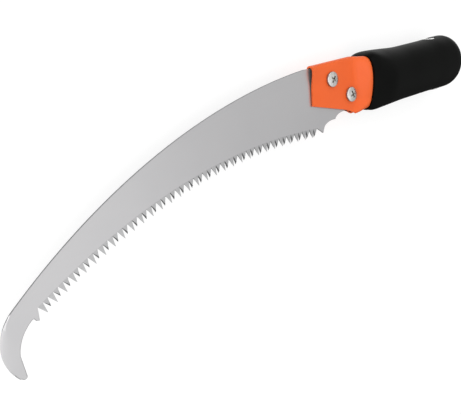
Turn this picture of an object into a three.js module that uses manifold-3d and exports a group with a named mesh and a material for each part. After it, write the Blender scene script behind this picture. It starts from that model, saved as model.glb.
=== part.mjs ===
// Curved folding pruning saw with a hooked tip, lying on its side, in millimetres.
// +X runs along the handle towards the pommel, +Y towards the back of the blade, +Z up.
// The pieces are drawn about the handle's axis at the mouth of the bracket; the last lines
// move the whole saw so that its origin is the middle of the bottom of its box.
import * as THREE from 'three';
import { mergeVertices } from 'three/addons/utils/BufferGeometryUtils.js';
import Module from 'manifold-3d';

const wasm = await Module();
wasm.setup();

// Driving dimensions.
const GAP = 0.3;                  // air between pieces that touch on the real saw
const BLADE_THICKNESS = 1.3;
const TOOTH_HEIGHT = 6.9;
const TOOTH_COUNT = 62;           // even teeth along the cutting arc
const TUBE_WALL = 1.4;
const GRIP_WIDTH_RATIO = 0.85;    // the grip is an upright oval
const PIVOT = { x: 40.4, y: -6.3 };
const LOCK = { x: 19.4, y: 9.8 };
const SCREW_RADIUS = 3;           // M6 screws
const HEAD_RADIUS = 6;
const HEAD_HEIGHT = 2.9;
const CHEEK_OUTER = 3.2;          // half the bracket's width where it is pressed flat
const SLOT_WIDTH = 4.4;
const SLOT_START = 46;            // the channel's open mouth ends here and the slot begins
const SLOT_END = 126;
const TUBE_END = 171;
const PLUG_FLANGE = 2.2;
const GRIP_START = 59.3;
const GRIP_END = 191.2;
const DOME_START = 173;           // the pommel is rounded from here to the end
const EYELET_X = 157.6;
const EYELET_FLANGE = 6.2;
const EYELET_TOP = 20.9;          // seats of the flanges, sunk a little into the grip
const EYELET_BOTTOM = -22.8;
const EYELET_OUTER = 4.8;
const WASHER_THICKNESS = 1.2;
const SPRING_WASHER_THICKNESS = 1.5;

// Arcs of the blade: centre and radius.
const BACK_ARC = { x: 21.4, y: -465.2, r: 488.3 };
const GULLET_ARC = { x: -43.3, y: -469.1, r: 445.4, from: 84.5, to: 118.35 };
const HOOK_ARC = { x: -253.1, y: -97.6, r: 29.3, from: 135, to: 219 };
const THROAT_ARC = { x: -245.2, y: -106.3, r: 27.1, from: 171, to: 122 };
const TIP_ARC = { x: -273, y: -115.6, r: 1.9 };
const TANG_RADIUS = 12.3;

// Derived dimensions.
const CHEEK_INNER = CHEEK_OUTER - TUBE_WALL;
const BUSH_OUTER = SCREW_RADIUS + GAP + 0.8;
const SHANK_HOLE = SCREW_RADIUS + GAP;

const rad = THREE.MathUtils.degToRad;
const smooth = THREE.MathUtils.smoothstep;
const lerp = THREE.MathUtils.lerp;

// ---------------------------------------------------------------- solids

function toSolid(geometry) {
  const bare = geometry.clone();
  bare.deleteAttribute('normal');
  bare.deleteAttribute('uv');
  const merged = mergeVertices(bare, 1e-4);
  return new wasm.Manifold(new wasm.Mesh({
    numProp: 3,
    vertProperties: new Float32Array(merged.attributes.position.array),
    triVerts: new Uint32Array(merged.index.array),
  }));
}

function toGeometry(solid) {
  const mesh = solid.getMesh();
  const geometry = new THREE.BufferGeometry();
  geometry.setAttribute('position', new THREE.BufferAttribute(mesh.vertProperties, 3));
  geometry.setIndex(new THREE.BufferAttribute(mesh.triVerts, 1));
  geometry.computeVertexNormals();
  return geometry;
}

function extrude(shape, low, high, curveSegments = 24) {
  const geometry = new THREE.ExtrudeGeometry(shape, { depth: high - low, bevelEnabled: false, curveSegments });
  return toSolid(geometry.translate(0, 0, low));
}

function box(lowX, lowY, lowZ, highX, highY, highZ) {
  const geometry = new THREE.BoxGeometry(highX - lowX, highY - lowY, highZ - lowZ);
  return toSolid(geometry.translate((lowX + highX) / 2, (lowY + highY) / 2, (lowZ + highZ) / 2));
}

// A cylinder standing along Z at a point of the blade's plane.
function upright(point, radius, low, high, segments = 24) {
  const geometry = new THREE.CylinderGeometry(radius, radius, high - low, segments);
  return toSolid(geometry.rotateX(Math.PI / 2).translate(point.x, point.y, (low + high) / 2));
}

function ring(point, inner, outer, low, high, segments = 24) {
  return upright(point, outer, low, high, segments)
    .subtract(upright(point, inner, low - 1, high + 1, segments));
}

// A closed skin through rings of points, all of the same count, with a cap at each end.
function loft(rings) {
  const count = rings[0].length;
  const points = rings.flat();
  const index = [];
  for (let i = 0; i + 1 < rings.length; i += 1) {
    for (let j = 0; j < count; j += 1) {
      const a = i * count + j;
      const b = i * count + (j + 1) % count;
      index.push(a, b, a + count, b, b + count, a + count);
    }
  }
  const last = points.length - count;
  for (let j = 1; j + 1 < count; j += 1) {
    index.push(0, j + 1, j);
    index.push(last, last + j, last + j + 1);
  }
  const geometry = new THREE.BufferGeometry().setFromPoints(points);
  geometry.setIndex(index);
  return toSolid(geometry);
}

function arcPoint(arc, degrees, inset = 0) {
  return [arc.x + (arc.r - inset) * Math.cos(rad(degrees)), arc.y + (arc.r - inset) * Math.sin(rad(degrees))];
}

// ---------------------------------------------------------------- blade

// The back of the blade, as an angle about the centre of its arc, at a given X.
function backAngle(x) {
  return Math.acos((x - BACK_ARC.x) / BACK_ARC.r);
}

// From the hook's tip round its outside and along the back to the mouth of the bracket.
function drawHookAndBack(shape) {
  shape.absarc(TIP_ARC.x, TIP_ARC.y, TIP_ARC.r, rad(9), rad(-155), true);
  shape.absarc(HOOK_ARC.x, HOOK_ARC.y, HOOK_ARC.r, rad(HOOK_ARC.to), rad(HOOK_ARC.from), true);
  shape.absarc(BACK_ARC.x, BACK_ARC.y, BACK_ARC.r, backAngle(-272), backAngle(-8), true);
  shape.lineTo(-3, 21.9);
}

// The tang: a seat that stops against the lock screw, then a round end about the pivot.
// The seat's sides are arcs about the pivot, so the blade swings clear of the lock screw.
function drawTang(shape) {
  const reach = Math.hypot(LOCK.x - PIVOT.x, LOCK.y - PIVOT.y);
  const bearing = Math.atan2(LOCK.y - PIVOT.y, LOCK.x - PIVOT.x);
  shape.lineTo(12, 21.7);
  shape.absarc(PIVOT.x, PIVOT.y, reach + SHANK_HOLE, rad(131), bearing, false);
  shape.absarc(LOCK.x, LOCK.y, SHANK_HOLE, bearing, bearing + Math.PI, false);
  shape.absarc(PIVOT.x, PIVOT.y, reach - SHANK_HOLE, bearing, rad(115), true);
  shape.absarc(PIVOT.x, PIVOT.y, TANG_RADIUS, rad(60), rad(-90), true);
}

// Two hollow curves under the bracket, ending in the first tooth.
function drawHeel(shape) {
  shape.lineTo(35.4, PIVOT.y - TANG_RADIUS);
  shape.quadraticCurveTo(24.6, -18.6, 22.2, -23);
  shape.quadraticCurveTo(12.4, -22.6, 8.5, -26.4);
  shape.lineTo(6.1, -31);
}

function drawTeeth(shape) {
  const step = (GULLET_ARC.to - GULLET_ARC.from) / TOOTH_COUNT;
  for (let tooth = 0; tooth < TOOTH_COUNT; tooth += 1) {
    const angle = GULLET_ARC.from + tooth * step;
    shape.lineTo(...arcPoint(GULLET_ARC, angle));
    shape.lineTo(...arcPoint(GULLET_ARC, angle + step / 2, TOOTH_HEIGHT));
  }
  shape.lineTo(...arcPoint(GULLET_ARC, GULLET_ARC.to));
}

// The blunt last tooth and the throat of the hook.
function drawThroat(shape) {
  shape.lineTo(-255.5, -85.5);
  shape.lineTo(-257.5, -84.9);
  shape.lineTo(-258.6, -83.1);
  shape.absarc(THROAT_ARC.x, THROAT_ARC.y, THROAT_ARC.r, rad(THROAT_ARC.to), rad(THROAT_ARC.from), false);
}

function makeBlade() {
  const shape = new THREE.Shape();
  drawHookAndBack(shape);
  drawTang(shape);
  drawHeel(shape);
  drawTeeth(shape);
  drawThroat(shape);
  const half = BLADE_THICKNESS / 2;
  return extrude(shape, -half, half).subtract(upright(PIVOT, BUSH_OUTER + GAP, -5, 5));
}

// ---------------------------------------------------------------- handle tube

// Top and bottom of the tube's outside at a given X.
function tubeTop(x) {
  return 23.9 - 1.9 * smooth(x, 44, 60) - 3.2 * smooth(x, 58, 76);
}

function tubeBottom(x) {
  return -33 + 9.6 * smooth(x, 18, 46) + 1.6 * smooth(x, 46, 60) + 1.6 * smooth(x, 58, 76);
}

// Half width of the pressed front part: flat cheeks rounded over at the top. At the mouth they
// close in on the blade, and the near one (side 1) stands off again at its top corner.
function pressedHalfWidth(x, y, side, inset) {
  const front = 1 - smooth(x, -6, 12);
  const standOff = side > 0 ? 1.8 * front * smooth(y, 2, 19) : 0;
  const half = CHEEK_OUTER - front * lerp(0.8, 0.4, smooth(y, -8, 18)) + standOff;
  const centre = tubeTop(x) - half;
  return Math.sqrt(Math.max(0, (half - inset) ** 2 - Math.max(0, y - centre) ** 2));
}

// One ring of the tube: the pressed section turns into an oval towards the grip, and does so
// earlier along its lower edge.
function tubeRing(x, inset, count = 44) {
  const top = tubeTop(x) - inset;
  const bottom = tubeBottom(x) + inset;
  const middle = (top + bottom) / 2;
  const halfHeight = (top - bottom) / 2;
  const halfOval = lerp(12.6, 16.3, smooth(x, 60, 80)) - inset;
  const squareness = lerp(0.55, 1, smooth(x, 60, 80));
  const lean = 0.25 * (1 - smooth(x, 60, 80));
  const points = [];
  for (let i = 0; i < count; i += 1) {
    const angle = 2 * Math.PI * i / count;
    const y = middle + halfHeight * Math.cos(angle);
    const early = 8 * smooth(-y, 13, 22);
    const openness = smooth(x + early, 46.5, 61);
    const side = Math.sign(Math.sin(angle));
    const across = Math.abs(Math.sin(angle));
    const oval = halfOval * across ** squareness * (1 + lean * Math.cos(angle));
    const width = across < 1e-6 ? 0 : lerp(pressedHalfWidth(x, y, side, inset), oval, openness);
    points.push(new THREE.Vector3(x, y, side * width));
  }
  return points;
}

function tubeStations(from, to) {
  const inner = [-3, 2, 8, 14, 24, 34, 39, 43, 46, 49, 52, 55, 58, 61, 64, 68, 72, 77];
  return [from, ...inner.filter((x) => x > from && x < to), to];
}

function tubeLoft(from, to, inset) {
  return loft(tubeStations(from, to).map((x) => tubeRing(x, inset)));
}

// What is cut away from the front: a slanted mouth and the open underside.
function mouthCutter() {
  const shape = new THREE.Shape();
  shape.moveTo(-30, 40);
  shape.lineTo(1.2, 40);
  shape.lineTo(-4, -7.4);
  shape.lineTo(34, -18);
  shape.lineTo(41, -21);
  shape.lineTo(SLOT_START, -24);
  shape.lineTo(SLOT_START, -60);
  shape.lineTo(-30, -60);
  return extrude(shape, -40, 40);
}

function eyeletBore(radius) {
  const geometry = new THREE.CylinderGeometry(radius, radius, 80, 32);
  return toSolid(geometry.translate(EYELET_X, 0, 0));
}

function bladeSlot(width) {
  return box(SLOT_START - 6, -60, -width / 2, SLOT_END, -12, width / 2);
}

function makeTube() {
  return tubeLoft(-10, TUBE_END, 0)
    .subtract(tubeLoft(-11, TUBE_END + 1, TUBE_WALL))
    .subtract(mouthCutter())
    .subtract(bladeSlot(SLOT_WIDTH))
    .subtract(upright(PIVOT, SHANK_HOLE, -10, 10))
    .subtract(upright(LOCK, SHANK_HOLE, -10, 10))
    .subtract(eyeletBore(EYELET_OUTER + GAP));
}

// ---------------------------------------------------------------- grip

// Half the grip's height: a rounded lip, a slight waist, then a domed end.
function gripHalfHeight(x) {
  const lip = 25.1 - 2.6 * (1 - Math.sqrt(1 - (1 - smooth(x, GRIP_START, GRIP_START + 12)) ** 2));
  const waist = 1.8 * smooth(x, 68, 112) - 0.6 * smooth(x, 144, 162);
  const along = Math.min(1, Math.max(0, (x - DOME_START) / (GRIP_END - DOME_START)));
  const dome = 17.2 * (1 - Math.sqrt(1 - along ** 2));
  return lip - waist - dome;
}

function gripRing(x, count = 36) {
  const half = gripHalfHeight(x);
  const middle = -0.15 - 0.75 * smooth(x, 68, 112);
  const ratio = lerp(0.65, GRIP_WIDTH_RATIO, smooth(x, 60, 84));
  const squareness = lerp(0.55, 1, smooth(x, 60, 84));
  const lean = 0.25 * (1 - smooth(x, 60, 84));
  const points = [];
  for (let i = 0; i < count; i += 1) {
    const angle = 2 * Math.PI * i / count;
    const width = ratio * half * Math.abs(Math.sin(angle)) ** squareness * (1 + lean * Math.cos(angle));
    points.push(new THREE.Vector3(x, middle + half * Math.cos(angle), Math.sign(Math.sin(angle)) * width));
  }
  return points;
}

function gripStations() {
  const stations = [GRIP_START, 60.1, 61.3, 63.3, 66.2, 70, 77, 86, 98, 112, 130, 145, 154, 162, DOME_START];
  const domeSteps = 8;
  for (let i = 1; i <= domeSteps; i += 1) {
    stations.push(DOME_START + (GRIP_END - DOME_START) * Math.sin(0.5 * Math.PI * i / domeSteps));
  }
  return stations;
}

// A flat seat for one flange of the eyelet, above or below the handle.
function eyeletSeat(low, high) {
  const geometry = new THREE.CylinderGeometry(EYELET_FLANGE + 0.4, EYELET_FLANGE + 0.4, high - low, 32);
  return toSolid(geometry.translate(EYELET_X, (low + high) / 2, 0));
}

function makeGrip() {
  return loft(gripStations().map((x) => gripRing(x)))
    .subtract(tubeLoft(GRIP_START - 5, TUBE_END + PLUG_FLANGE + 2 * GAP, -GAP))
    .subtract(bladeSlot(SLOT_WIDTH))
    .subtract(eyeletBore(EYELET_OUTER + GAP))
    .subtract(eyeletSeat(EYELET_TOP, 40))
    .subtract(eyeletSeat(-40, EYELET_BOTTOM));
}

function makePlug() {
  const spigot = tubeLoft(TUBE_END - 3.4, TUBE_END + GAP + 0.5, TUBE_WALL + GAP);
  return spigot.add(tubeLoft(TUBE_END + GAP, TUBE_END + GAP + PLUG_FLANGE, 0));
}

// A hollow rivet through the pommel, flared at both ends, to hang the saw by.
function makeEyelet() {
  const bore = 3.7;
  const topSeat = EYELET_TOP + GAP;
  const bottomSeat = EYELET_BOTTOM - GAP;
  const profile = [
    [bore, bottomSeat - 0.9], [bore + 0.7, bottomSeat - 1.3], [EYELET_FLANGE - 0.6, bottomSeat - 1],
    [EYELET_FLANGE, bottomSeat - 0.5], [EYELET_FLANGE - 0.2, bottomSeat], [EYELET_OUTER, bottomSeat],
    [EYELET_OUTER, topSeat], [EYELET_FLANGE - 0.2, topSeat], [EYELET_FLANGE, topSeat + 0.5],
    [EYELET_FLANGE - 0.6, topSeat + 1], [bore + 0.7, topSeat + 1.3], [bore, topSeat + 0.9],
    [bore, bottomSeat - 0.9],
  ];
  const geometry = new THREE.LatheGeometry(profile.map(([r, y]) => new THREE.Vector2(r, y)), 24);
  return toSolid(geometry.translate(EYELET_X, 0, 0));
}

// ---------------------------------------------------------------- pivot and lock

// Heights of the stack on the far side of the bracket, going down from the cheek.
const WASHER_TOP = -CHEEK_OUTER - GAP;
const STACK_TOP = WASHER_TOP - WASHER_THICKNESS - GAP;

// A pan-head screw with a cross recess, its shank running down to a given height.
function makeScrew(point, end) {
  const seat = CHEEK_OUTER + GAP;
  const crown = seat + HEAD_HEIGHT;
  const profile = [
    [0, end], [SCREW_RADIUS - 0.6, end], [SCREW_RADIUS, end + 0.6], [SCREW_RADIUS, seat], [HEAD_RADIUS - 0.3, seat],
    [HEAD_RADIUS, seat + 0.4], [HEAD_RADIUS - 0.1, seat + 1.2], [HEAD_RADIUS - 0.8, seat + 2],
    [HEAD_RADIUS - 2.2, seat + 2.6], [0, crown],
  ];
  const geometry = new THREE.LatheGeometry(profile.map(([r, z]) => new THREE.Vector2(r, z)), 24);
  const body = toSolid(geometry.rotateX(Math.PI / 2).translate(point.x, point.y, 0));
  const arm = 2.9;
  const depth = crown - 1.7;
  return body
    .subtract(box(point.x - arm, point.y - 0.6, depth, point.x + arm, point.y + 0.6, crown + 1))
    .subtract(box(point.x - 0.6, point.y - arm, depth, point.x + 0.6, point.y + arm, crown + 1));
}

function makePivotBush() {
  const half = CHEEK_INNER - GAP;
  return ring(PIVOT, SHANK_HOLE, BUSH_OUTER, -half, half);
}

function makeFrictionWasher(side) {
  const near = BLADE_THICKNESS / 2 + GAP;
  const far = CHEEK_INNER - GAP;
  return ring(PIVOT, BUSH_OUTER + GAP, 8.5, Math.min(side * near, side * far), Math.max(side * near, side * far));
}

function makeFlatWasher(point) {
  return ring(point, SHANK_HOLE, 6.3, WASHER_TOP - WASHER_THICKNESS, WASHER_TOP);
}

// A hexagon nut with a collar that holds a nylon ring.
const NUT_HEX_END = STACK_TOP - 4.4;
const NUT_END = NUT_HEX_END - 1.9;

function makePivotNut() {
  return upright(PIVOT, 5.77, NUT_HEX_END, STACK_TOP, 6)
    .add(upright(PIVOT, 4.85, NUT_END, NUT_HEX_END + 0.2))
    .subtract(upright(PIVOT, SHANK_HOLE, NUT_END - 1, STACK_TOP + 1))
    .subtract(upright(PIVOT, 4.3, NUT_END - 1, NUT_HEX_END));
}

function makeNutRing() {
  return ring(PIVOT, SHANK_HOLE, 4.3 - GAP, NUT_END + 0.2, NUT_HEX_END - GAP);
}

// A ring cut through at a slant.
function makeSpringWasher() {
  const whole = ring(LOCK, SHANK_HOLE, 5.4, STACK_TOP - SPRING_WASHER_THICKNESS, STACK_TOP);
  const slit = new THREE.BoxGeometry(0.7, 6, 8)
    .rotateY(rad(20))
    .translate(LOCK.x, LOCK.y - 5.5, STACK_TOP - SPRING_WASHER_THICKNESS / 2);
  return whole.subtract(toSolid(slit));
}

// A wing nut: a tapered hub and two thumb wings that sweep outwards and down.
const WING_NUT_TOP = STACK_TOP - SPRING_WASHER_THICKNESS - GAP;

function makeWingNut() {
  const hubHeight = 5.6;
  const hub = new THREE.CylinderGeometry(5.2, 4.2, hubHeight, 32)
    .rotateX(Math.PI / 2)
    .translate(LOCK.x, LOCK.y, WING_NUT_TOP - hubHeight / 2);
  const shape = new THREE.Shape();
  shape.moveTo(3.4, -0.8);
  shape.quadraticCurveTo(8, -2, 11.4, -8.4);
  shape.absarc(10.1, -8.6, 2.6, rad(30), rad(-160), true);
  shape.quadraticCurveTo(6.6, -5.6, 3.4, -4.8);
  let nut = toSolid(hub);
  for (const turn of [0, Math.PI]) {
    const wing = new THREE.ExtrudeGeometry(shape, { depth: 2.2, bevelEnabled: false, curveSegments: 8 })
      .translate(0, 0, -1.1)
      .rotateX(Math.PI / 2)
      .rotateZ(turn + rad(52))
      .translate(LOCK.x, LOCK.y, WING_NUT_TOP);
    nut = nut.add(toSolid(wing));
  }
  return nut.subtract(upright(LOCK, SHANK_HOLE, WING_NUT_TOP - 20, WING_NUT_TOP + 1));
}

// ---------------------------------------------------------------- finishes and assembly

const finishes = {
  blade_steel: { color: 0xc3c4c6, metalness: 0.75, roughness: 0.4 },
  orange_paint: { color: 0xf3703c, metalness: 0.0, roughness: 0.35 },
  black_pvc: { color: 0x1d1e1d, metalness: 0.0, roughness: 0.45 },
  zinc: { color: 0xd0d0cc, metalness: 0.9, roughness: 0.3 },
  bronze: { color: 0xb08d57, metalness: 0.9, roughness: 0.4 },
  nylon: { color: 0xe8e6dc, metalness: 0.0, roughness: 0.6 },
};

const saw = new THREE.Group();

function place(name, finish, solid) {
  const mesh = new THREE.Mesh(toGeometry(solid), new THREE.MeshStandardMaterial(finishes[finish]));
  mesh.name = name;
  saw.add(mesh);
}

place('blade', 'blade_steel', makeBlade());
place('handle_tube', 'orange_paint', makeTube());
place('grip', 'black_pvc', makeGrip());
place('tube_end_plug', 'black_pvc', makePlug());
place('hang_eyelet', 'zinc', makeEyelet());
place('pivot_screw', 'zinc', makeScrew(PIVOT, NUT_END - 1.5));
place('pivot_bush', 'bronze', makePivotBush());
place('pivot_washer_near', 'bronze', makeFrictionWasher(1));
place('pivot_washer_far', 'bronze', makeFrictionWasher(-1));
place('pivot_flat_washer', 'zinc', makeFlatWasher(PIVOT));
place('pivot_nut', 'zinc', makePivotNut());
place('pivot_nut_ring', 'nylon', makeNutRing());
place('lock_screw', 'zinc', makeScrew(LOCK, WING_NUT_TOP - 8));
place('lock_flat_washer', 'zinc', makeFlatWasher(LOCK));
place('lock_spring_washer', 'zinc', makeSpringWasher());
place('wing_nut', 'zinc', makeWingNut());

const bounds = new THREE.Box3().setFromObject(saw);
const middle = bounds.getCenter(new THREE.Vector3());
saw.position.set(-middle.x, -middle.y, -bounds.min.z);

export default saw;
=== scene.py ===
"""Looks of a curved folding pruning saw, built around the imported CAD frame. Metres, +Z up."""

import math

import bmesh
import bpy
from mathutils import Matrix, Vector


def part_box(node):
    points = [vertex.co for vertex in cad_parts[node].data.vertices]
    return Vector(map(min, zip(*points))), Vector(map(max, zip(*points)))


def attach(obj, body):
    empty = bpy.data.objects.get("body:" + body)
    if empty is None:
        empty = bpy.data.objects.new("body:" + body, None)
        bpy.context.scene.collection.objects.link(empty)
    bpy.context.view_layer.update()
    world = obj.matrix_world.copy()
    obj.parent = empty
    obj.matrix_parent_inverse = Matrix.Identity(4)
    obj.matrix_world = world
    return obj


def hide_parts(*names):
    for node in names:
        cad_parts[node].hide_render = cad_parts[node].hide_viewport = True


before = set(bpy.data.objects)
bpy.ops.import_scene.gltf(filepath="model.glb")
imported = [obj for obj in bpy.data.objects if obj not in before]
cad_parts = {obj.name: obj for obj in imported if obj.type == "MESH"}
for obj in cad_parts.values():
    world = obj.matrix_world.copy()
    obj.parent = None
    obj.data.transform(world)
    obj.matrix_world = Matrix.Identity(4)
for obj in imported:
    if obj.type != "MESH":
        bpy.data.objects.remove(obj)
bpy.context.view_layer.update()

# ------------------------------------------------------------------ where things are

MM = 0.001
LATHE_STEPS = 96


def centre(node):
    low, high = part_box(node)
    return (low + high) / 2


PIVOT = centre("pivot_screw")
LOCK = centre("lock_screw")
EYELET = centre("hang_eyelet")
BLADE_MID = centre("blade").z

# The drawing plane of the saw: millimetres from the handle's axis at the bracket's mouth.
PIVOT_XY = (40.4, -6.3)
ORIGIN = Vector((PIVOT.x - PIVOT_XY[0] * MM, PIVOT.y - PIVOT_XY[1] * MM, BLADE_MID))
LOCK_XY = ((LOCK.x - ORIGIN.x) / MM, (LOCK.y - ORIGIN.y) / MM)


def to_world(x, y, z):
    return ORIGIN + Vector((x, y, z)) * MM


def smooth(x, low, high):
    t = min(1.0, max(0.0, (x - low) / (high - low)))
    return t * t * (3 - 2 * t)


def lerp(a, b, t):
    return a + (b - a) * t


# ------------------------------------------------------------------ mesh helpers

def link(mesh, name):
    obj = bpy.data.objects.new(name, mesh)
    bpy.context.scene.collection.objects.link(obj)
    return obj


def finish_bmesh(bm, name):
    bmesh.ops.recalc_face_normals(bm, faces=bm.faces)
    mesh = bpy.data.meshes.new(name)
    bm.to_mesh(mesh)
    bm.free()
    return link(mesh, name)


def loft(rings, name):
    """A closed skin through rings of points, capped at both ends."""
    bm = bmesh.new()
    made = [[bm.verts.new(p) for p in ring] for ring in rings]
    count = len(rings[0])
    for a, b in zip(made, made[1:]):
        for j in range(count):
            k = (j + 1) % count
            bm.faces.new((a[j], a[k], b[k], b[j]))
    bm.faces.new(made[0])
    bm.faces.new(made[-1])
    return finish_bmesh(bm, name)


def prism(points, low, high, name):
    """An outline in the drawing plane, extruded along Z."""
    return loft([[to_world(x, y, z) for x, y in points] for z in (low, high)], name)


def lathe(profile, place, axis, name):
    """A profile of (radius, height) in mm turned about an axis, "Z" or "Y", through a point."""
    bm = bmesh.new()
    rings = []
    for radius, height in profile:
        ring = []
        for i in range(LATHE_STEPS):
            a = 2 * math.pi * i / LATHE_STEPS
            across, along = radius * math.cos(a) * MM, radius * math.sin(a) * MM
            rise = height * MM
            turned = (across, along, rise) if axis == "Z" else (across, rise, along)
            ring.append(bm.verts.new(place + Vector(turned)))
        rings.append(ring)
    closed = profile[0] == profile[-1]
    if closed:
        for v in rings[-1]:
            bm.verts.remove(v)
        rings[-1] = rings[0]
    for a, b in zip(rings, rings[1:]):
        for j in range(LATHE_STEPS):
            k = (j + 1) % LATHE_STEPS
            bm.faces.new((a[j], a[k], b[k], b[j]))
    if not closed:
        bm.faces.new(rings[0])
        bm.faces.new(rings[-1])
    bmesh.ops.remove_doubles(bm, verts=bm.verts, dist=1e-7)
    return finish_bmesh(bm, name)


def on_screw_axis(place):
    """The middle of the blade's thickness, on a screw's axis."""
    return Vector((place.x, place.y, BLADE_MID))


def on_eyelet_axis():
    return Vector((EYELET.x, ORIGIN.y, ORIGIN.z))


def round_hole(place, radius):
    """A cutter for a hole about a screw's axis."""
    return lathe([(radius, -12), (radius, 12)], on_screw_axis(place), "Z", "hole")


def apply_modifiers(obj):
    bpy.context.view_layer.update()
    graph = bpy.context.evaluated_depsgraph_get()
    mesh = bpy.data.meshes.new_from_object(obj.evaluated_get(graph))
    old = obj.data
    obj.modifiers.clear()
    obj.data = mesh
    bpy.data.meshes.remove(old)


def boolean(obj, operation, *others):
    """Applies a boolean operation with each of the others, which are used up."""
    for other in others:
        modifier = obj.modifiers.new("boolean", "BOOLEAN")
        modifier.operation = operation
        modifier.solver = "EXACT"
        modifier.object = other
    apply_modifiers(obj)
    for other in others:
        bpy.data.objects.remove(other)


def cut(obj, *cutters):
    boolean(obj, "DIFFERENCE", *cutters)


def soften(obj, width):
    """Rounds the sharp edges."""
    modifier = obj.modifiers.new("soften", "BEVEL")
    modifier.width = width * MM
    modifier.segments = 3
    modifier.limit_method = "ANGLE"
    modifier.angle_limit = math.radians(60)
    modifier.use_clamp_overlap = True
    apply_modifiers(obj)


def shade(obj, angle):
    """Smooth shading that keeps edges sharper than the angle."""
    for polygon in obj.data.polygons:
        polygon.use_smooth = True
    obj.data.set_sharp_from_angle(angle=math.radians(angle))


def dress(obj, material, body, slot, *nodes):
    """Gives a piece its material and its body, and hides the CAD nodes it stands for; the slot is
    not used.
    """
    if not obj.data.materials:
        obj.data.materials.append(material)
    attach(obj, body)
    if nodes:
        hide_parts(*nodes)


# ------------------------------------------------------------------ materials

class Nodes:
    """A small helper for building a node material."""

    def __init__(self, name):
        self.material = bpy.data.materials.new(name)
        self.material.use_nodes = True
        self.tree = self.material.node_tree
        self.shader = self.tree.nodes["Principled BSDF"]
        self.place = self.tree.nodes.new("ShaderNodeTexCoord").outputs["Object"]

    def set(self, **values):
        for key, value in values.items():
            self.shader.inputs[key.replace("_", " ")].default_value = value

    def link(self, source, target):
        self.tree.links.new(source, target)

    def stretched(self, scale, turn=(0, 0, 0)):
        node = self.tree.nodes.new("ShaderNodeMapping")
        node.inputs["Scale"].default_value = scale
        node.inputs["Rotation"].default_value = turn
        self.link(self.place, node.inputs["Vector"])
        return node.outputs["Vector"]

    def noise(self, scale, detail=3, vector=None):
        node = self.tree.nodes.new("ShaderNodeTexNoise")
        node.inputs["Scale"].default_value = scale
        node.inputs["Detail"].default_value = detail
        self.link(vector or self.place, node.inputs["Vector"])
        return node.outputs["Fac"]

    def mottle(self, source, darker, lighter):
        """Lets the base colour wander between two shades."""
        node = self.tree.nodes.new("ShaderNodeValToRGB")
        shades = ((0.3, darker), (0.7, lighter))
        for element, (position, color) in zip(node.color_ramp.elements, shades):
            element.position = position
            element.color = (*color, 1)
        self.link(source, node.inputs["Fac"])
        self.link(node.outputs["Color"], self.shader.inputs["Base Color"])

    def rough(self, source, low, high):
        """Lets the roughness wander between two values."""
        node = self.tree.nodes.new("ShaderNodeMapRange")
        node.inputs["To Min"].default_value = low
        node.inputs["To Max"].default_value = high
        self.link(source, node.inputs["Value"])
        self.link(node.outputs["Result"], self.shader.inputs["Roughness"])

    def bump(self, source, strength, distance):
        """Adds a fine relief to the surface."""
        node = self.tree.nodes.new("ShaderNodeBump")
        node.inputs["Strength"].default_value = strength
        node.inputs["Distance"].default_value = distance
        self.link(source, node.inputs["Height"])
        self.link(node.outputs["Normal"], self.shader.inputs["Normal"])


def blade_steel():
    n = Nodes("blade_steel")
    grain = n.noise(900, 4, n.stretched((0.05, 1, 1), (0, 0, -0.35)))
    clouds = n.noise(14, 3)
    n.set(Metallic=0.85, Specular_IOR_Level=0.5)
    n.mottle(clouds, (0.550, 0.545, 0.555), (0.578, 0.573, 0.580))
    n.rough(grain, 0.28, 0.38)
    n.bump(grain, 0.12, 0.00005)
    return n.material


def dull_and_shaded_steel(name, darker, lighter):
    """Unpolished steel, darkened as painted shade: the cut edges of the blade, which are partly dull
    steel, the sides of the screw heads, and the near-black inside of the tube.
    """
    n = Nodes(name)
    grain = n.noise(700, 3, n.stretched((1, 1, 0.15)))
    n.set(Metallic=0.8)
    n.mottle(grain, darker, lighter)
    n.rough(grain, 0.45, 0.6)
    return n.material


def hardened_and_shaded_steel():
    """The ground teeth, darkened partly by their heat treatment and partly as painted shade."""
    n = Nodes("hardened_and_shaded_steel")
    grain = n.noise(800, 3, n.stretched((0.3, 1, 1), (0, 0, 0.6)))
    n.set(Metallic=0.85)
    n.mottle(grain, (0.465, 0.465, 0.47), (0.525, 0.525, 0.53))
    n.rough(grain, 0.30, 0.42)
    return n.material


def orange_paint():
    n = Nodes("orange_paint")
    peel = n.noise(420, 2)
    clouds = n.noise(35, 2)
    n.set(Metallic=0.0, Specular_IOR_Level=0.2, Coat_Weight=0.05, Coat_Roughness=0.25)
    n.mottle(clouds, (0.83, 0.127, 0.024), (0.87, 0.139, 0.029))
    n.rough(peel, 0.34, 0.42)
    n.bump(peel, 0.10, 0.0001)
    return n.material


def black_pvc():
    n = Nodes("black_pvc")
    fine = n.noise(1400, 3)
    broad = n.noise(60, 3)
    n.set(Metallic=0.0, Specular_IOR_Level=0.06)
    n.mottle(broad, (0.0018, 0.0020, 0.0017), (0.0028, 0.0031, 0.0027))
    n.rough(broad, 0.43, 0.51)
    n.bump(fine, 0.10, 0.00008)
    return n.material


def zinc(name, tint):
    n = Nodes(name)
    spangle = n.noise(380, 3)
    n.set(Metallic=1.0)
    n.mottle(spangle, tuple(c * 0.68 for c in tint), tint)
    n.rough(spangle, 0.16, 0.30)
    n.bump(spangle, 0.08, 0.00005)
    return n.material


def bronze():
    n = Nodes("bronze")
    stain = n.noise(500, 3)
    n.set(Metallic=1.0)
    n.mottle(stain, (0.40, 0.24, 0.10), (0.48, 0.30, 0.13))
    n.rough(stain, 0.30, 0.42)
    return n.material


def nylon():
    n = Nodes("nylon")
    clouds = n.noise(300, 2)
    n.set(Metallic=0.0)
    n.mottle(clouds, (0.74, 0.73, 0.66), (0.82, 0.81, 0.74))
    n.rough(clouds, 0.45, 0.6)
    return n.material


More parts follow.
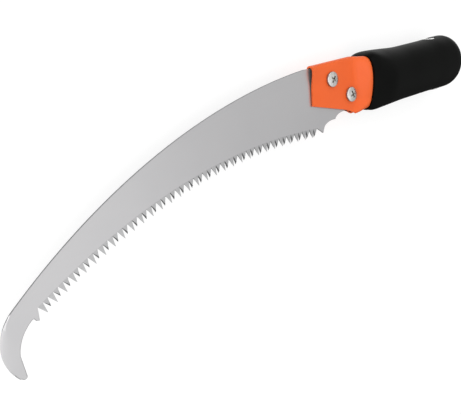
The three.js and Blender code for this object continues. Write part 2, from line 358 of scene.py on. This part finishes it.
STEEL, HARDENED_AND_SHADE, ORANGE, PVC = blade_steel(), hardened_and_shaded_steel(), orange_paint(), black_pvc()
# dark steel for the blade's cut edges and the screw heads' sides: partly dull steel, partly painted
# shade
EDGE_AND_SHADE = dull_and_shaded_steel("sheared_steel_and_painted_shade", (0.31, 0.31, 0.315), (0.37, 0.37, 0.375))
# near-black steel for the inside of the tube: painted shade
INSIDE_SHADE_STEEL = dull_and_shaded_steel("inside_painted_shade_steel", (0.06, 0.055, 0.05), (0.09, 0.085, 0.08))
# the darker zinc goes in the screws' cross recesses as painted shade
ZINC, RECESS_SHADE = zinc("zinc", (0.86, 0.85, 0.82)), zinc("recess_shade_zinc", (0.68, 0.66, 0.63))
BRIGHT, BRONZE, NYLON = zinc("bright_zinc", (0.97, 0.97, 0.96)), bronze(), nylon()

# ------------------------------------------------------------------ blade

HALF = 0.65                                # half the blade's thickness
BACK_ARC = (21.4, -465.2, 488.3)           # arcs are given by their centre and radius
GULLET_ARC = (-43.3, -469.1, 445.4)
HOOK_ARC = (-253.1, -97.6, 29.3)
THROAT_ARC = (-245.2, -106.3, 27.1)
TIP_ARC = (-273, -115.6, 1.9)
HOOK_START, BLADE_FRONT = -272, -8         # where the blade's back begins and ends along X
TOOTH_COUNT = 62
TOOTH_FROM, TOOTH_TO = 84.5, 118.35        # degrees round the gullets' arc
TOOTH_STEP = (TOOTH_TO - TOOTH_FROM) / TOOTH_COUNT
TOOTH_HEIGHT = 6.9
TOOTH_SET = 0.85                           # how far the tips are bent to their side
TOOTH_BEVEL = 2.3                          # how far the inner side's point lies below the tip
TOOTH_NARROWING = 1.25                     # how much narrower the inner side is, each way
TOOTH_BLUNT = 0.16                         # half the width of a tip
TANG_RADIUS = 12.3
WIDE_BEVEL = 0.6                           # rims with a wider bevel than this are ground bright; narrower ones are dull steel darkened as painted shade
SHANK_HOLE = 3.3
BUSH_HOLE = 4.4
FLAT, SHARP, GROUND = 0, 1, 2              # material slots: the blade, its edges, its teeth


def on_arc(arc, degrees, inset=0.0):
    """A point of an arc, or as far inside it as the inset says."""
    a = math.radians(degrees)
    return (arc[0] + (arc[2] - inset) * math.cos(a), arc[1] + (arc[2] - inset) * math.sin(a))


def arc_points(arc, start, end, steps):
    return [on_arc(arc, lerp(start, end, i / steps)) for i in range(steps + 1)]


class Rim:
    """One point of the blade's outline, with the width and the depth of the chamfer there."""

    def __init__(self, point, width=0.18, depth=0.12):
        self.point = Vector(point)
        self.width = width
        self.depth = depth


def back_and_hook():
    """From the hook's tip round its outside and along the back to the bracket."""
    rims = [Rim(p, 0.35, 0.2) for p in arc_points(TIP_ARC, 9, -155, 12)]
    steps = 48
    for i in range(steps + 1):
        t = i / steps
        width = lerp(0.4, 2.6, smooth(t, 0.0, 0.45)) * (1 - 0.75 * smooth(t, 0.72, 1.0))
        rims.append(Rim(on_arc(HOOK_ARC, lerp(219, 135, t)), width, 0.18 * width + 0.05))
    start, end = (math.degrees(math.acos((x - BACK_ARC[0]) / BACK_ARC[2]))
                  for x in (HOOK_START, BLADE_FRONT))
    rims += [Rim(p, 0.3, 0.25) for p in arc_points(BACK_ARC, start, end, 90)]
    return rims


def tang():
    """Inside the bracket: a seat that stops against the lock screw and a round end at the pivot."""
    dx, dy = LOCK_XY[0] - PIVOT_XY[0], LOCK_XY[1] - PIVOT_XY[1]
    reach, bearing = math.hypot(dx, dy), math.degrees(math.atan2(dy, dx))
    points = [(-3, 21.9), (12, 21.7)]
    points += arc_points((*PIVOT_XY, reach + SHANK_HOLE), 131, bearing, 6)
    points += arc_points((*LOCK_XY, SHANK_HOLE), bearing, bearing + 180, 20)[1:-1]
    points += arc_points((*PIVOT_XY, reach - SHANK_HOLE), bearing, 115, 8)
    points += arc_points((*PIVOT_XY, TANG_RADIUS), 60, -90, 30)
    return [Rim(p, 0.1, 0.1) for p in points]


def bezier(start, handle, end, steps):
    """The points of a curve after its start."""
    points = []
    for i in range(1, steps + 1):
        t = i / steps
        points.append(tuple((1 - t) ** 2 * s + 2 * t * (1 - t) * h + t * t * e
                            for s, h, e in zip(start, handle, end)))
    return points


def heel():
    """The two scallops between the tang and the first tooth."""
    corner = (35.4, PIVOT_XY[1] - TANG_RADIUS)
    points = [corner]
    points += bezier(corner, (24.6, -18.6), (22.2, -23), 10)
    points += bezier((22.2, -23), (12.4, -22.6), (8.5, -26.4), 10)
    points.append((6.1, -31))
    return [Rim(p) for p in points]


def throat():
    """The blunt last tooth and the inside of the hook."""
    points = [(-255.5, -85.5), (-257.5, -84.9), (-258.6, -83.1)]
    points += arc_points(THROAT_ARC, 122, 171, 24)
    return [Rim(p, 0.3, 0.15) for p in points]


def chamfered(ring):
    """Insets every rim towards the inside, along the mean of its two neighbours' normals."""
    count = len(ring)
    inner = []
    for i, rim in enumerate(ring):
        before = ring[(i - 1) % count].point
        after = ring[(i + 1) % count].point
        along = (after - before).normalized()
        inner.append(rim.point + Vector((along.y, -along.x)) * rim.width)
    return inner


def add_tooth(bm, index, gullets):
    """One ground tooth, bent to its side. Its outer face is whole, its inner side bevelled."""
    side = 1 if index % 2 else -1
    middle = TOOTH_FROM + (index + 0.5) * TOOTH_STEP
    left, right = gullets[index], gullets[index + 1]
    tip = Vector(on_arc(GULLET_ARC, middle, TOOTH_HEIGHT))
    inner_tip = Vector(on_arc(GULLET_ARC, middle, TOOTH_HEIGHT - TOOTH_BEVEL))
    flank = (right["at"] - left["at"]).normalized()

    def at(point, z):
        return bm.verts.new(to_world(point.x, point.y, z))

    def bent(share):
        return side * TOOTH_SET * share * share

    outer, inner = {}, {}
    for key, gullet, sign in (("left", left, -1), ("right", right, 1)):
        corner = tip + flank * TOOTH_BLUNT * sign
        for share in (0.35, 0.7):
            place = gullet["at"].lerp(corner, share)
            narrow = place - flank * sign * (TOOTH_NARROWING * share)
            outer[key, share] = at(place, side * HALF + bent(share))
            inner[key, share] = at(narrow, -side * HALF + bent(share))
        outer[key, 1.0] = at(corner, side * HALF + bent(1.0))
    inner["tip"] = at(inner_tip, -side * HALF + bent(0.7))
    faces = []
    outer_key, inner_key = ("top", "bottom") if side > 0 else ("bottom", "top")
    levels = (0.35, 0.7, 1.0)
    previous = (left[outer_key], right[outer_key])
    for share in levels:
        now = (outer["left", share], outer["right", share])
        faces.append((previous[0], previous[1], now[1], now[0]))
        previous = now
    previous = (left[inner_key], right[inner_key])
    for share in (0.35, 0.7):
        now = (inner["left", share], inner["right", share])
        faces.append((previous[0], previous[1], now[1], now[0]))
        previous = now
    faces.append((previous[0], previous[1], inner["tip"]))
    for key, gullet in (("left", left), ("right", right)):
        out_chain = [gullet[outer_key]] + [outer[key, s] for s in levels]
        in_chain = [gullet[inner_key], inner[key, 0.35], inner[key, 0.7], inner["tip"]]
        for a, b, c, d in zip(out_chain, out_chain[1:], in_chain[1:], in_chain):
            faces.append((a, b, c, d))
    faces.append((outer["left", 1.0], outer["right", 1.0], inner["tip"]))
    for face in faces:
        bm.faces.new(face).material_index = GROUND


def make_blade():
    bm = bmesh.new()
    before = back_and_hook() + tang() + heel()
    teeth = [Rim(on_arc(GULLET_ARC, TOOTH_FROM + i * TOOTH_STEP), 0, 0)
             for i in range(TOOTH_COUNT + 1)]
    ring = before + teeth + throat()
    rows = []
    for rim, inset in zip(ring, chamfered(ring)):
        row = {"at": rim.point}
        row["top"] = bm.verts.new(to_world(inset.x, inset.y, HALF))
        row["bottom"] = bm.verts.new(to_world(inset.x, inset.y, -HALF))
        if rim.width > 0:
            edge = HALF - rim.depth
            row["upper"] = bm.verts.new(to_world(rim.point.x, rim.point.y, edge))
            row["lower"] = bm.verts.new(to_world(rim.point.x, rim.point.y, -edge))
        rows.append(row)
    bm.faces.new([row["top"] for row in rows])
    bm.faces.new([row["bottom"] for row in rows])
    levels = ("top", "upper", "lower", "bottom")
    columns = [[row[level] for level in levels if level in row] for row in rows]
    first, last = len(before), len(before) + TOOTH_COUNT
    for i, a in enumerate(columns):
        b = columns[(i + 1) % len(columns)]
        if first <= i < last:
            continue
        if len(a) == len(b):
            for k in range(len(a) - 1):
                face = bm.faces.new((a[k], a[k + 1], b[k + 1], b[k]))
                wide = ring[i].width > WIDE_BEVEL and k != 1
                face.material_index = FLAT if wide else SHARP
        else:
            bm.faces.new(a + b[::-1])
    gullets = rows[first:last + 1]
    for index in range(TOOTH_COUNT):
        add_tooth(bm, index, gullets)
    blade = finish_bmesh(bm, "saw_blade")
    # the cut edges and the teeth get darker steel, partly as painted shade
    for material in (STEEL, EDGE_AND_SHADE, HARDENED_AND_SHADE):
        blade.data.materials.append(material)
    cut(blade, round_hole(PIVOT, BUSH_HOLE))
    shade(blade, 12)
    dress(blade, STEEL, "blade", "blade_steel", "blade")


# ------------------------------------------------------------------ tube

CHEEK_OUTER = 3.2                          # half the bracket's thickness at the screws
WALL = 1.4
GAP = 0.3                                  # the air between pieces that touch
SLOT_START, SLOT_END, SLOT_HALF = 46, 126, 2.2
TUBE_END = 171
EYELET_HOLE = 5.1
NEAR_SEAT, FAR_SEAT = (6.45, 20.8), (6.6, -22.8)   # the eyelet's lips: radius and height
TUBE_POINTS, GRIP_POINTS = 160, 144        # points round a section
PAINTED, INSIDE_SHADE = 0, 1                  # material slots of the tube: orange paint, and the inside darkened as painted shade


def tube_top(x):
    return 23.9 - 1.9 * smooth(x, 44, 60) - 3.2 * smooth(x, 58, 76)


def tube_bottom(x):
    return -33 + 9.6 * smooth(x, 18, 46) + 1.6 * smooth(x, 46, 60) + 1.6 * smooth(x, 58, 76)


def pressed_half_width(x, y, side, inset):
    """Half the thickness of the pressed bracket, whose near cheek flares at the mouth."""
    front = 1 - smooth(x, -6, 12)
    stand_off = 1.8 * front * smooth(y, 7, 19) if side > 0 else 0
    half = CHEEK_OUTER - front * lerp(0.8, 0.4, smooth(y, -8, 18)) + stand_off
    bend = tube_top(x) - half              # above this height the cheek bends into the back
    return math.sqrt(max(0.0, (half - inset) ** 2 - max(0.0, y - bend) ** 2))


def tube_ring(x, inset):
    """The section at x: the flat bracket in front opens into an oval behind."""
    top, bottom = tube_top(x) - inset, tube_bottom(x) + inset
    middle, half_height = (top + bottom) / 2, (top - bottom) / 2
    opening = smooth(x, 60, 80)
    half_oval = lerp(12.6, 16.3, opening) - inset
    squareness = lerp(0.55, 1, opening)
    lean = 0.25 * (1 - opening)
    ring = []
    for i in range(TUBE_POINTS):
        a = 2 * math.pi * i / TUBE_POINTS
        y = middle + half_height * math.cos(a)
        openness = smooth(x + 8 * smooth(-y, 13, 22), 46.5, 61)
        across = abs(math.sin(a))
        oval = half_oval * across ** squareness * (1 + lean * math.cos(a))
        side = math.copysign(1, math.sin(a))
        width = 0 if across < 1e-6 else lerp(pressed_half_width(x, y, side, inset), oval, openness)
        ring.append(to_world(x, y, side * width))
    return ring


def tube_loft(low, high, inset, name):
    """The tube, or its inside, with a section at every millimetre where it changes shape."""
    stations = [low] + [x for x in range(-9, 84) if low < x < high] + [high]
    return loft([tube_ring(x, inset) for x in stations], name)


def mouth_cutter():
    """Trims the bracket's front and opens its underside for the blade."""
    points = [(-30, 40), (1.2, 40), (-4, -7.4), (34, -18), (41, -21),
              (SLOT_START, -24), (SLOT_START, -60), (-30, -60)]
    return prism(points, -40, 40, "mouth")


def blade_slot():
    """The slot along the handle's underside that the teeth fold into."""
    start = SLOT_START - 6
    outline = [(start, -60), (SLOT_END, -60), (SLOT_END, -12), (start, -12)]
    return prism(outline, -SLOT_HALF, SLOT_HALF, "slot")


def eyelet_bore(radius, low, high):
    return lathe([(radius, low), (radius, high)], on_eyelet_axis(), "Y", "bore")


def make_tube():
    tube = tube_loft(-10, TUBE_END, 0, "handle_tube_shell")
    inside = tube_loft(-11, TUBE_END + 1, WALL, "inside")
    mouth = mouth_cutter()
    # the inside walls get the near-black steel as painted shade
    for part, index in ((tube, PAINTED), (inside, INSIDE_SHADE), (mouth, PAINTED)):
        part.data.materials.append(ORANGE)
        part.data.materials.append(INSIDE_SHADE_STEEL)
        for polygon in part.data.polygons:
            polygon.material_index = index
    cut(tube, inside)
    cut(tube, mouth)
    cut(tube, blade_slot())
    cut(tube, round_hole(PIVOT, SHANK_HOLE), round_hole(LOCK, SHANK_HOLE))
    cut(tube, eyelet_bore(EYELET_HOLE, -50, 50))
    shade(tube, 30)
    dress(tube, ORANGE, "handle", "orange_paint", "handle_tube")


# ------------------------------------------------------------------ grip

GRIP_START, GRIP_END, DOME_START = 59.3, 191.2, 173
LIP_LENGTH = 12


def grip_half_height(x):
    rise = smooth(x, GRIP_START, GRIP_START + LIP_LENGTH)
    lip = 25.1 - 2.6 * (1 - math.sqrt(1 - (1 - rise) ** 2))
    waist = 1.8 * smooth(x, 68, 112) - 0.6 * smooth(x, 144, 162)
    along = min(1.0, max(0.0, (x - DOME_START) / (GRIP_END - DOME_START)))
    return lip - waist - 17.2 * (1 - math.sqrt(1 - along ** 2))


def grip_ring(x):
    """The section at x, which follows the tube's change from flat to oval."""
    half = grip_half_height(x)
    middle = -0.15 - 0.75 * smooth(x, 68, 112)
    opening = smooth(x, 60, 84)
    ratio = lerp(0.65, 0.85, opening)
    squareness = lerp(0.55, 1, opening)
    lean = 0.25 * (1 - opening)
    ring = []
    for i in range(GRIP_POINTS):
        a = 2 * math.pi * i / GRIP_POINTS
        width = ratio * half * abs(math.sin(a)) ** squareness * (1 + lean * math.cos(a))
        ring.append(to_world(x, middle + half * math.cos(a), math.copysign(width, math.sin(a))))
    return ring


def grip_stations():
    """Closer together at the rounded lip and on the pommel's dome."""
    stations = [GRIP_START + LIP_LENGTH * (i / 14) ** 2 for i in range(15)]
    stations += [lerp(GRIP_START + LIP_LENGTH, DOME_START, i / 50) for i in range(1, 51)]
    stations += [lerp(DOME_START, GRIP_END, math.sin(0.5 * math.pi * i / 24)) for i in range(1, 25)]
    return stations


def make_grip():
    grip = loft([grip_ring(x) for x in grip_stations()], "grip_sleeve")
    cut(grip, tube_loft(GRIP_START - 5, TUBE_END + 2.8, -GAP, "bore"))
    cut(grip, blade_slot())
    cut(grip, eyelet_bore(EYELET_HOLE, -50, 50))
    cut(grip, eyelet_bore(NEAR_SEAT[0], NEAR_SEAT[1], 40),
        eyelet_bore(FAR_SEAT[0], -40, FAR_SEAT[1]))
    shade(grip, 30)
    dress(grip, PVC, "handle", "black_pvc", "grip")


def make_eyelet():
    """A hollow rivet with a rolled lip at both ends."""
    bore, outer, flange = 3.7, 4.8, 6.2
    top, bottom = 21.05, -23.1
    lip = [(outer, 0), (flange - 0.5, 0), (flange - 0.15, 0.12), (flange, 0.5),
           (flange - 0.15, 0.85), (flange - 0.6, 1.1), (flange - 1.2, 1.25),
           (bore + 0.7, 1.3), (bore + 0.25, 1.2), (bore, 0.9)]
    profile = [(r, top + h) for r, h in lip] + [(r, bottom - h) for r, h in reversed(lip)]
    profile.append(profile[0])
    eyelet = lathe(profile, on_eyelet_axis(), "Y", "hang_eyelet_ring")
    shade(eyelet, 50)
    dress(eyelet, BRIGHT, "handle", "zinc", "hang_eyelet")


# ------------------------------------------------------------------ fasteners

SEAT = CHEEK_OUTER + GAP
HEAD_RADIUS, HEAD_HEIGHT, SHANK = 6.0, 2.9, 3.0
PLATED, SUNK, RIM_SHADE = 0, 1, 2                # material slots of a screw: plated zinc, the recess and the rim, both darkened as painted shade


def heights(node):
    """The bottom and the top of a CAD node, in mm from the middle of the blade."""
    low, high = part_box(node)
    return (low.z - BLADE_MID) / MM, (high.z - BLADE_MID) / MM


def make_screw(place, node, turn, name):
    """A pan head with a cross recess and a rim, both darkened as painted shade, and a chamfered
    shank.
    """
    end = heights(node)[0]
    crown = SEAT + HEAD_HEIGHT
    r = HEAD_RADIUS
    profile = [(0.01, end), (SHANK - 0.6, end), (SHANK, end + 0.6), (SHANK, SEAT), (r - 0.35, SEAT),
               (r - 0.1, SEAT + 0.12), (r, SEAT + 0.4), (r, SEAT + 1.85), (r - 0.14, SEAT + 2.0),
               (r - 0.3, SEAT + 2.07), (r - 1.0, SEAT + 2.26), (r - 1.9, SEAT + 2.49),
               (r - 2.9, SEAT + 2.69), (r - 4.1, SEAT + 2.83), (0.01, crown)]
    at = on_screw_axis(place)
    screw = lathe(profile, at, "Z", name)
    for material in (ZINC, RECESS_SHADE, EDGE_AND_SHADE):
        screw.data.materials.append(material)
    for polygon in screw.data.polygons:
        # the side of the head gets the dark steel as painted shade
        beside = (polygon.center - at).xy.length > (r - 0.1) * MM
        polygon.material_index = RIM_SHADE if beside and abs(polygon.normal.z) < 0.3 else PLATED
    wings = []                             # the recess: two slots that narrow inwards
    for quarter in (0, math.pi / 2):
        rings = []
        for z, length, width in ((crown - 1.7, 2.3, 0.55), (crown + 1.0, 3.6, 0.9)):
            rings.append([Vector((sx * length, sy * width, z)) * MM
                          for sx, sy in ((-1, -1), (1, -1), (1, 1), (-1, 1))])
        wing = loft(rings, "recess")
        wing.data.materials.append(ZINC)
        wing.data.materials.append(RECESS_SHADE)
        # the recess gets the darker zinc as painted shade
        for polygon in wing.data.polygons:
            polygon.material_index = SUNK
        wing.data.transform(Matrix.Translation(at) @ Matrix.Rotation(turn + quarter, 4, "Z"))
        wings.append(wing)
    cut(screw, *wings)
    shade(screw, 35)
    dress(screw, ZINC, "handle", "zinc", node)


def make_washer(place, node, inner, outer, name):
    bottom, top = heights(node)
    e = 0.2
    profile = [(inner, bottom + e), (inner + e, bottom), (outer - e, bottom), (outer, bottom + e),
               (outer, top - e), (outer - e, top), (inner + e, top), (inner, top - e)]
    return lathe(profile + profile[:1], on_screw_axis(place), "Z", name)


def make_flat_washer(place, node, name):
    washer = make_washer(place, node, SHANK_HOLE, 6.3, name)
    shade(washer, 50)
    dress(washer, ZINC, "handle", "zinc", node)


def make_spring_washer():
    """A ring split by a slanted slit."""
    washer = make_washer(LOCK, "lock_spring_washer", SHANK_HOLE, 5.4, "split_washer")
    bm = bmesh.new()
    bmesh.ops.create_cube(bm, size=1)
    slit = finish_bmesh(bm, "slit")
    middle = Vector((LOCK.x, LOCK.y - 5.5 * MM, centre("lock_spring_washer").z))
    slit.data.transform(Matrix.Translation(middle) @ Matrix.Rotation(math.radians(20), 4, "Y")
                        @ Matrix.Diagonal((0.7 * MM, 6 * MM, 8 * MM, 1)))
    cut(washer, slit)
    shade(washer, 40)
    dress(washer, ZINC, "handle", "zinc", "lock_spring_washer")


def make_pivot_nut():
    """A hexagon nut, chamfered by a cone at its outer face, with a round collar."""
    bottom, top = heights("pivot_nut")
    hex_end = bottom + 1.9
    corner = 5.77
    at = on_screw_axis(PIVOT)
    angles = [math.pi * k / 3 for k in range(6)]
    nut = loft([[at + Vector((corner * math.sin(a), corner * math.cos(a), z)) * MM
                 for a in angles] for z in (top, hex_end)], "lock_nut")
    cone = [(5.1, hex_end), (5.9, hex_end + 0.5), (5.9, top - 0.4), (5.2, top)]
    boolean(nut, "INTERSECT", lathe(cone, at, "Z", "envelope"))
    collar = [(4.85, hex_end + 0.2), (4.85, bottom + 0.5), (4.6, bottom + 0.1), (4.35, bottom)]
    boolean(nut, "UNION", lathe(collar, at, "Z", "collar"))
    cut(nut, lathe([(SHANK_HOLE, bottom - 1), (SHANK_HOLE, top + 1)], at, "Z", "thread"))
    cut(nut, lathe([(4.3, bottom - 1), (4.3, hex_end)], at, "Z", "seat"))
    shade(nut, 30)
    dress(nut, ZINC, "handle", "zinc", "pivot_nut")


def make_wing_nut():
    """A tapered hub with two thumb wings that sweep outwards and down."""
    top = heights("wing_nut")[1]
    at = on_screw_axis(LOCK)
    hub = [(4.0, top - 5.6), (4.25, top - 5.45), (5.1, top - 0.4), (4.9, top)]
    nut = lathe(hub, at, "Z", "thumb_nut")
    outline = [(3.0, -0.9)] + bezier((3.4, -0.8), (8, -2), (11.4, -8.4), 12)
    outline += arc_points((10.1, -8.6, 2.6), 30, -160, 18)
    outline += bezier(outline[-1], (6.6, -5.6), (3.4, -4.8), 8) + [(3.0, -4.8)]
    for turn in (0, math.pi):
        wing = loft([[Vector((x, y, z)) * MM for x, y in outline] for z in (-1.1, 1.1)], "wing")
        soften(wing, 0.45)
        wing.data.transform(Matrix.Translation(at + Vector((0, 0, top * MM)))
                            @ Matrix.Rotation(turn + math.radians(52), 4, "Z")
                            @ Matrix.Rotation(math.pi / 2, 4, "X"))
        boolean(nut, "UNION", wing)
    cut(nut, lathe([(SHANK_HOLE, top - 9), (SHANK_HOLE, top + 1)], at, "Z", "thread"))
    shade(nut, 35)
    dress(nut, ZINC, "wing_nut", "zinc", "wing_nut")


make_blade()
make_tube()
make_grip()
make_eyelet()
make_screw(PIVOT, "pivot_screw", 0.35, "pivot_pan_screw")
make_screw(LOCK, "lock_screw", 0.9, "lock_pan_screw")
make_flat_washer(PIVOT, "pivot_flat_washer", "pivot_washer")
make_flat_washer(LOCK, "lock_flat_washer", "lock_washer")
make_spring_washer()
make_pivot_nut()
make_wing_nut()

# CAD nodes whose shape is right keep it and get the finished material.
for node, material in (("tube_end_plug", PVC), ("pivot_bush", BRONZE), ("pivot_washer_near", BRONZE),
                       ("pivot_washer_far", BRONZE), ("pivot_nut_ring", NYLON)):
    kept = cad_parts[node]
    kept.data.materials.clear()
    kept.data.materials.append(material)

# ------------------------------------------------------------------ floor, light, camera

FLOOR_HALF, FLOOR_DROP = 3.0, 0.0005


def make_floor():
    bm = bmesh.new()
    corners = [(-FLOOR_HALF, -FLOOR_HALF), (FLOOR_HALF, -FLOOR_HALF), (FLOOR_HALF, FLOOR_HALF),
               (-FLOOR_HALF, FLOOR_HALF)]
    bm.faces.new([bm.verts.new((x, y, 0)) for x, y in corners])
    floor = finish_bmesh(bm, "floor")
    floor.location.z = -FLOOR_DROP
    n = Nodes("pale_floor")
    n.set(Metallic=0.0, Specular_IOR_Level=0.1, Roughness=0.9, Emission_Strength=0.75)
    n.shader.inputs["Emission Color"].default_value = (1, 1, 1, 1)
    n.mottle(n.noise(3, 2), (0.30, 0.30, 0.30), (0.32, 0.32, 0.32))
    floor.data.materials.append(n.material)
    floor.visible_glossy = False


def add_area(name, place, target, size, power):
    light = bpy.data.lights.new(name, "AREA")
    light.shape = "RECTANGLE"
    light.size, light.size_y = size
    light.energy = power
    obj = bpy.data.objects.new(name, light)
    obj.location = place
    obj.rotation_euler = (Vector(target) - Vector(place)).to_track_quat("-Z", "Y").to_euler()
    bpy.context.scene.collection.objects.link(obj)


def make_world():
    """A white studio, brightest overhead, with a dim patch before the saw and a glow behind it."""
    world = bpy.data.worlds.new("studio")
    world.use_nodes = True
    tree = world.node_tree
    background = tree.nodes["Background"]
    background.inputs["Color"].default_value = (1, 1, 1, 1)
    place = tree.nodes.new("ShaderNodeTexCoord")

    def towards(direction, start, end, first, last):
        """Goes from first to last as the view turns to a direction, by the cosine between them."""
        dot = tree.nodes.new("ShaderNodeVectorMath")
        dot.operation = "DOT_PRODUCT"
        dot.inputs[1].default_value = Vector(direction).normalized()
        span = tree.nodes.new("ShaderNodeMapRange")
        span.interpolation_type = "SMOOTHSTEP"
        for key, value in (("From Min", start), ("From Max", end),
                           ("To Min", first), ("To Max", last)):
            span.inputs[key].default_value = value
        tree.links.new(place.outputs["Generated"], dot.inputs[0])
        tree.links.new(dot.outputs["Value"], span.inputs["Value"])
        return span.outputs["Result"]

    def math_node(operation, first, second):
        node = tree.nodes.new("ShaderNodeMath")
        node.operation = operation
        tree.links.new(first, node.inputs[0])
        tree.links.new(second, node.inputs[1])
        return node.outputs[0]

    sky = towards((0, 0, 1), 0.45, 1.0, 0.62, 0.82)
    horizon = towards((0, 0, 1), -0.1, 0.5, 0.2, 1.0)
    patch = towards((-0.55, -0.72, 0.42), 0.75, 0.95, 1.0, 0.1)
    glow = towards((0.75, 0.45, -0.48), 0.75, 0.95, 0.0, 1.1)
    dimmed = math_node("MULTIPLY", math_node("MULTIPLY", sky, horizon), patch)
    tree.links.new(math_node("ADD", dimmed, glow), background.inputs["Strength"])
    bpy.context.scene.world = world


def make_camera():
    """Looks down at the blade from beyond the hook, on the side with the screw heads."""
    right = Vector((0.7612, -0.1548, 0.6297)).normalized()
    back = Vector((-0.5770, 0.2815, 0.7667))
    back = (back - right * back.dot(right)).normalized()
    turn = Matrix((right, back.cross(right), back)).transposed().to_4x4()
    from_pivot = Vector((-414.6, 78.2, 365.7)) * MM
    data = bpy.data.cameras.new("camera")
    data.sensor_fit = "HORIZONTAL"
    data.sensor_width = 36
    data.lens = 50.76
    camera = bpy.data.objects.new("camera", data)
    camera.matrix_world = Matrix.Translation(on_screw_axis(PIVOT) + from_pivot) @ turn
    bpy.context.scene.collection.objects.link(camera)
    bpy.context.scene.camera = camera


make_floor()
make_world()
add_area("overhead", (0.0, -0.5, 1.1), (-0.1, 0, 0), (1.3, 1.3), 1.5)
add_area("behind", (0.3, 1.3, 1.1), (0, 0, 0), (1.4, 0.9), 3)
add_area("front", (-0.95, 0.1, 0.85), (0.1, 0, 0), (1.6, 1.6), 11.4)
make_camera()
bpy.context.scene.view_settings.view_transform = "Standard"
